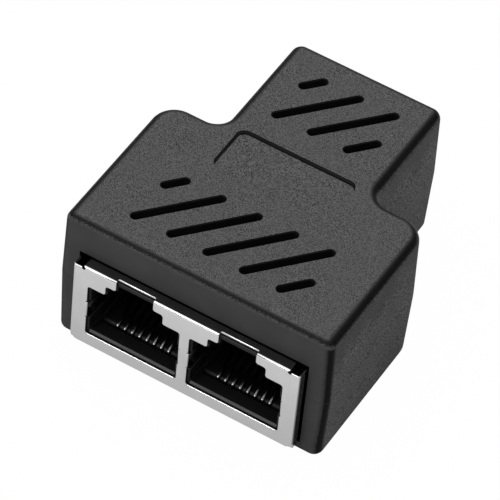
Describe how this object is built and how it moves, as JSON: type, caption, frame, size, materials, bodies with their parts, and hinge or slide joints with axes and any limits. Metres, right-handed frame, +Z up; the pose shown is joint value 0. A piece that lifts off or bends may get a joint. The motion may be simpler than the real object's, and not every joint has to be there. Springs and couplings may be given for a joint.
{
  "type": "network socket splitter",
  "caption": "T-shaped two-shell plastic housing with slanted vents, a shielded twin modular socket across its wide end and a single shielded modular socket at its narrow end.",
  "frame": {"origin": "under the middle of the bounding box, on the face that the part stands on", "axes": "+X across the twin socket, +Y from the twin socket towards the single one, +Z up from the base to the vented top"},
  "size_m": [0.0368, 0.044, 0.0201],
  "materials": {
    "housing": "fine spark-eroded texture, dark grey",
    "shield": "bright tin plate on folded sheet",
    "socket_plastic": "smooth black moulding",
    "contact": "bright plated spring metal",
    "board": "glass-fibre laminate with solder mask"
  },
  "bodies": {
    "root": {"upper_shell": "housing", "lower_shell": "housing", "front_shield": "shield", "rear_shield": "shield", "front_jack_body": "socket_plastic", "rear_jack_body": "socket_plastic", "contact_carrier_left": "socket_plastic", "contact_carrier_right": "socket_plastic", "contact_carrier_rear": "socket_plastic", "circuit_board": "board", "contact_left_1": "contact", "contact_left_2": "contact", "contact_left_3": "contact", "contact_left_4": "contact", "contact_left_5": "contact", "contact_left_6": "contact", "contact_left_7": "contact", "contact_left_8": "contact", "contact_right_1": "contact", "contact_right_2": "contact", "contact_right_3": "contact", "contact_right_4": "contact", "contact_right_5": "contact", "contact_right_6": "contact", "contact_right_7": "contact", "contact_right_8": "contact", "contact_rear_1": "contact", "contact_rear_2": "contact", "contact_rear_3": "contact", "contact_rear_4": "contact", "contact_rear_5": "contact", "contact_rear_6": "contact", "contact_rear_7": "contact", "contact_rear_8": "contact"}
  },
  "joints": []
}
